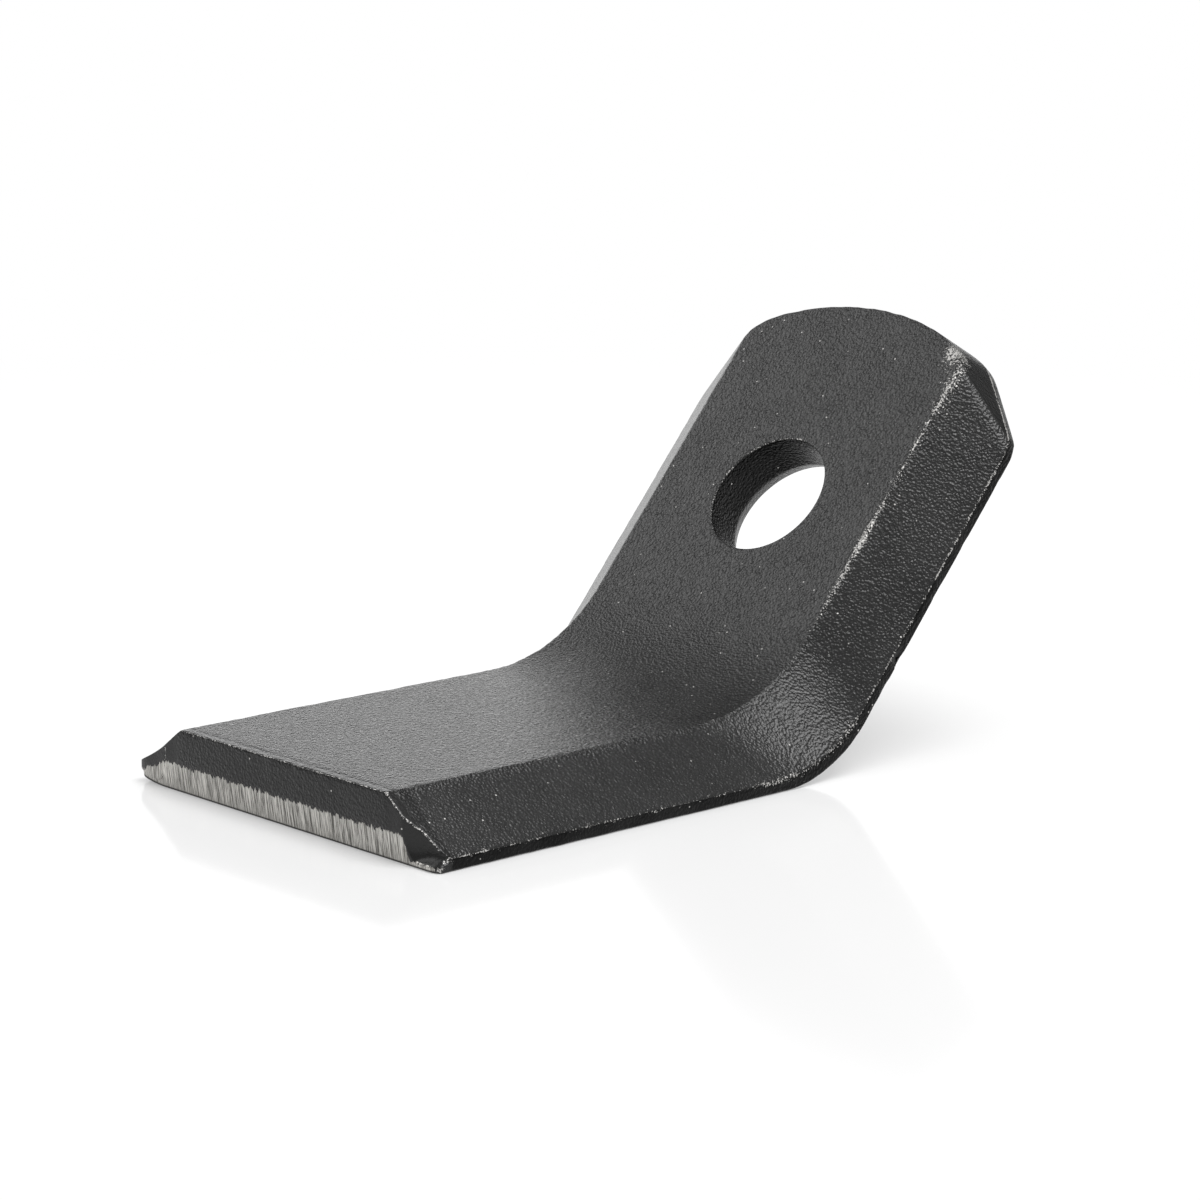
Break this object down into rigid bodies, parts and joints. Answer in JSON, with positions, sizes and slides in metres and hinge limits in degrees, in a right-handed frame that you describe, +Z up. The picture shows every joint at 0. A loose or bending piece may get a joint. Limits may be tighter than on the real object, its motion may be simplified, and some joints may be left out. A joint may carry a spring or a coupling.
{
  "type": "mulcher blade",
  "caption": "Bent, one-piece forged steel mulcher blade with chamfered sides, a bolt hole in the raised leg and a ground cutting edge.",
  "frame": {"origin": "centre of the bolt hole, halfway through the plate", "axes": "+X across the width, -Y from the bolt hole towards the cutting edge, +Z up from the flat outer face of the cutting leg, on which the blade rests"},
  "size_m": [0.068, 0.1333, 0.0657],
  "materials": {
    "painted_steel": "satin black paint with a pebbled grain, worn bright on the corners, and bare ground steel along the cutting edge"
  },
  "bodies": {
    "root": {"blade": "painted_steel"}
  },
  "joints": []
}
